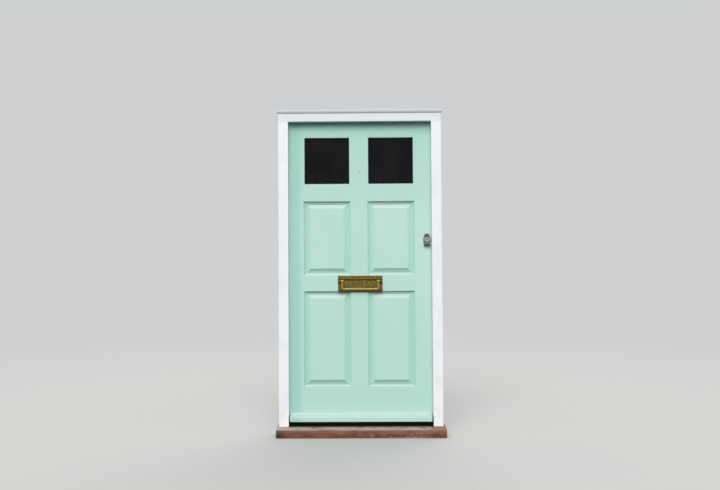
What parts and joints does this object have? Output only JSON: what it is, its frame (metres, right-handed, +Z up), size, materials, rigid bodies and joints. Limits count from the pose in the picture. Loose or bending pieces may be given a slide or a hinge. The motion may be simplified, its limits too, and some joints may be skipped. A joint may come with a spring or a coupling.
{
  "type": "panelled front door",
  "caption": "Panelled timber front door in its frame: raised panels below small panes, weatherboard, sill, letter plate with knocker bail and rim latch.",
  "frame": {"origin": "on the sill's underside, at the door's mid-width, below the frame's street face", "axes": "+X to the right seen from the street, +Y into the house, +Z up"},
  "size_m": [1.134, 0.22, 2.213],
  "materials": {
    "leaf_paint": "mint-green gloss house paint on timber",
    "frame_paint": "white gloss house paint on timber",
    "sill_timber": "red-brown stained timber, worn grey on top",
    "water_bar_metal": "dull",
    "glass": "clear glass before a dark room",
    "aged_brass": "aged, brown in the hollows",
    "chrome_plate": "polished, slightly dulled",
    "plug_brass": "bright",
    "latch_enamel": "grey-brown enamel",
    "knob_brass": "lacquered",
    "hinge_steel": "plated",
    "spring_steel": "wire"
  },
  "bodies": {
    "frame": {"sill": "sill_timber", "head": "frame_paint", "cap_moulding": "frame_paint", "water_bar": "water_bar_metal", "hinge_post": "frame_paint", "lock_post": "frame_paint", "staple": "latch_enamel", "staple_screws": "hinge_steel", "hinge_pins": "hinge_steel", "hinge_post_screws": "hinge_steel", "top_hinge_fixed_flap": "hinge_steel", "middle_hinge_fixed_flap": "hinge_steel", "bottom_hinge_fixed_flap": "hinge_steel"},
    "leaf": {"hinge_stile": "leaf_paint", "lock_stile": "leaf_paint", "top_rail": "leaf_paint", "frieze_rail": "leaf_paint", "lock_rail": "leaf_paint", "bottom_rail": "leaf_paint", "top_muntin": "leaf_paint", "upper_muntin": "leaf_paint", "lower_muntin": "leaf_paint", "weatherboard": "leaf_paint", "hinge_stile_screws": "hinge_steel", "top_hinge_moving_flap": "hinge_steel", "middle_hinge_moving_flap": "hinge_steel", "bottom_hinge_moving_flap": "hinge_steel", "left_pane": "glass", "left_outer_beads": "leaf_paint", "left_inner_beads": "leaf_paint", "upper_left_panel": "leaf_paint", "upper_left_moulding": "leaf_paint", "lower_left_panel": "leaf_paint", "lower_left_moulding": "leaf_paint", "right_pane": "glass", "right_outer_beads": "leaf_paint", "right_inner_beads": "leaf_paint", "upper_right_panel": "leaf_paint", "upper_right_moulding": "leaf_paint", "lower_right_panel": "leaf_paint", "lower_right_moulding": "leaf_paint", "letter_plate": "aged_brass", "letter_plate_nuts": "aged_brass", "flap_pin": "aged_brass", "cylinder_pull": "chrome_plate", "cylinder": "chrome_plate", "latch_backplate": "latch_enamel", "latch_case": "latch_enamel", "latch_spring": "spring_steel", "backplate_screws": "hinge_steel", "cylinder_screws": "hinge_steel"},
    "letter_flap": {"letter_flap": "aged_brass", "flap_spring": "spring_steel"},
    "knocker_bail": {"knocker_bail": "aged_brass"},
    "latch_knob": {"latch_knob": "knob_brass"},
    "latch_bolt": {"latch_bolt": "plug_brass"},
    "latch_snib": {"latch_snib": "knob_brass"},
    "cylinder_plug": {"cylinder_plug": "plug_brass", "tailbar": "plug_brass"}
  },
  "joints": [
    {"name": "door_swing", "type": "hinge", "parent": "frame", "child": "leaf", "pos_m": [-0.4995, 0.102, 0], "axis": [0, 0, 1], "range_deg": [0, 95]},
    {"name": "letter_flap_swing", "type": "hinge", "parent": "leaf", "child": "letter_flap", "pos_m": [0, 0.056, 1.0445], "axis": [1, 0, 0], "range_deg": [0, 75], "stiffness_Nm_per_rad": 0.15, "springref_deg": -20.05},
    {"name": "knocker_bail_swing", "type": "hinge", "parent": "leaf", "child": "knocker_bail", "pos_m": [0, 0.033, 1.04], "axis": [-1, 0, 0], "range_deg": [0, 150]},
    {"name": "knob_turn", "type": "hinge", "parent": "leaf", "child": "latch_knob", "pos_m": [0.458, 0.124, 1.321], "axis": [0, 1, 0], "range_deg": [0, 60]},
    {"name": "bolt_slide", "type": "slide", "parent": "leaf", "child": "latch_bolt", "axis": [1, 0, 0], "range_m": [0, 0.013]},
    {"name": "snib_slide", "type": "slide", "parent": "leaf", "child": "latch_snib", "axis": [0, 0, -1], "range_m": [0, 0.007]},
    {"name": "key_turn", "type": "hinge", "parent": "leaf", "child": "cylinder_plug", "pos_m": [0.458, 0.051, 1.321], "axis": [0, 1, 0], "range_deg": [0, 90]}
  ],
  "couplings": [
    {"joint": "bolt_slide", "follows": "knob_turn", "m_per_rad": 0.012414}
  ]
}
